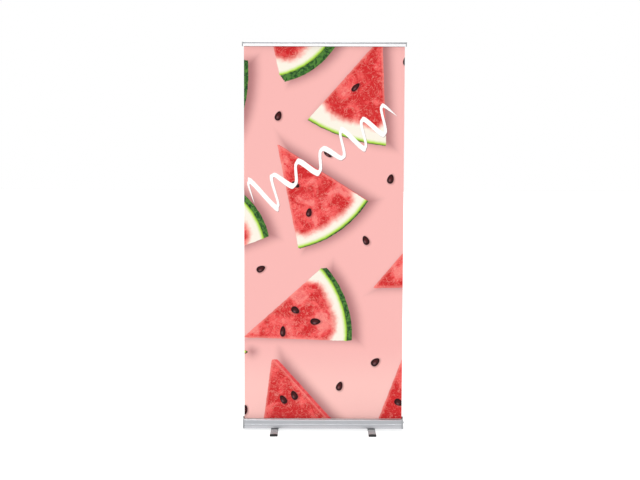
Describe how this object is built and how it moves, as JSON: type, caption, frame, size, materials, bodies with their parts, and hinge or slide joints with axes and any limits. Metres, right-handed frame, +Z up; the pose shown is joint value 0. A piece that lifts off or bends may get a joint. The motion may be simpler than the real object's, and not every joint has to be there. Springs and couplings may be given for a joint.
{
  "type": "roll-up banner stand",
  "caption": "Portable roll-up display stand: printed film drawn from a spring-roller cassette on swivel feet to a hinged clamp rail on a sectional rear pole.",
  "frame": {"origin": "on the floor, midway between the ends of the cassette and on the line through both foot pivots", "axes": "+X along the cassette to the right as seen from the printed side, +Y to the rear, where the pole is, +Z up"},
  "size_m": [0.87, 0.31, 2.0734],
  "materials": {
    "anodised_aluminium": "satin anodised",
    "bright_aluminium": "satin anodised",
    "steel": "satin",
    "black_plastic": "moulded",
    "grey_plastic": "moulded",
    "white_plastic": "moulded",
    "black_rubber": "matt",
    "printed_film": "satin print",
    "leader_film": "gloss"
  },
  "bodies": {
    "cassette": {"cassette_housing": "anodised_aluminium", "end_cap_left": "grey_plastic", "end_cap_right": "grey_plastic", "end_cap_screw_left_1": "steel", "end_cap_screw_left_2": "steel", "end_cap_screw_left_3": "steel", "end_cap_screw_right_1": "steel", "end_cap_screw_right_2": "steel", "end_cap_screw_right_3": "steel", "slot_trim_front": "white_plastic", "slot_trim_rear": "white_plastic", "rail_stop_left": "black_rubber", "rail_stop_right": "black_rubber", "pole_socket": "black_plastic", "spring_arbor": "steel", "torsion_spring": "steel", "banner": "printed_film", "pivot_screw_left": "steel", "pivot_washer_left": "white_plastic", "pivot_plate_left": "steel", "pivot_nut_left": "steel", "pivot_screw_right": "steel", "pivot_washer_right": "white_plastic", "pivot_plate_right": "steel", "pivot_nut_right": "steel"},
    "roller": {"roller_tube": "anodised_aluminium", "leader_wrap": "leader_film", "roller_plug_left": "black_plastic", "spring_anchor_plug": "black_plastic", "roller_plug_right": "black_plastic", "roller_axle_pin": "steel"},
    "top_rail": {"rail_body": "anodised_aluminium", "rail_end_cap_left": "grey_plastic", "rail_end_cap_right": "grey_plastic", "pole_clip": "black_plastic"},
    "rail_jaw": {"rail_jaw": "bright_aluminium", "jaw_grip_strip": "black_rubber"},
    "pole_lower": {"pole_foot_plug": "black_plastic", "pole_tube_lower": "anodised_aluminium", "pole_ferrule_lower": "steel", "elastic_cord_lower": "black_rubber"},
    "pole_middle": {"pole_tube_middle": "anodised_aluminium", "pole_ferrule_middle": "steel"},
    "pole_upper": {"pole_tube_upper": "anodised_aluminium", "pole_top_cap": "black_plastic", "elastic_cord_upper": "black_rubber"},
    "foot_left": {"foot_bar_left": "anodised_aluminium", "foot_cap_left_front": "black_rubber", "foot_cap_left_rear": "black_rubber"},
    "foot_right": {"foot_bar_right": "anodised_aluminium", "foot_cap_right_front": "black_rubber", "foot_cap_right_rear": "black_rubber"}
  },
  "joints": [
    {"name": "graphic_retract", "type": "slide", "parent": "cassette", "child": "top_rail", "axis": [0, 0, -1], "range_m": [0, 1.978], "deforming": ["banner"]},
    {"name": "roller_spin", "type": "hinge", "parent": "cassette", "child": "roller", "pos_m": [0, -0.02, 0.036], "axis": [-1, 0, 0], "range_deg": [0, 7100]},
    {"name": "rail_jaw_open", "type": "hinge", "parent": "top_rail", "child": "rail_jaw", "pos_m": [0, -0.0106, 2.0646], "axis": [-1, 0, 0], "range_deg": [0, 80]},
    {"name": "foot_left_swivel", "type": "hinge", "parent": "cassette", "child": "foot_left", "pos_m": [-0.26, 0, 0.01], "axis": [0, 0, 1], "range_deg": [-90, 90]},
    {"name": "foot_right_swivel", "type": "hinge", "parent": "cassette", "child": "foot_right", "pos_m": [0.26, 0, 0.01], "axis": [0, 0, 1], "range_deg": [-90, 90]},
    {"name": "pole_lift", "type": "slide", "parent": "cassette", "child": "pole_lower", "axis": [0, 0, 1], "range_m": [0, 0.06]},
    {"name": "pole_middle_lift", "type": "slide", "parent": "pole_lower", "child": "pole_middle", "axis": [0, 0, 1], "range_m": [0, 0.045]},
    {"name": "pole_upper_lift", "type": "slide", "parent": "pole_middle", "child": "pole_upper", "axis": [0, 0, 1], "range_m": [0, 0.045]}
  ],
  "couplings": [
    {"joint": "roller_spin", "follows": "graphic_retract", "rad_per_m": 62}
  ]
}
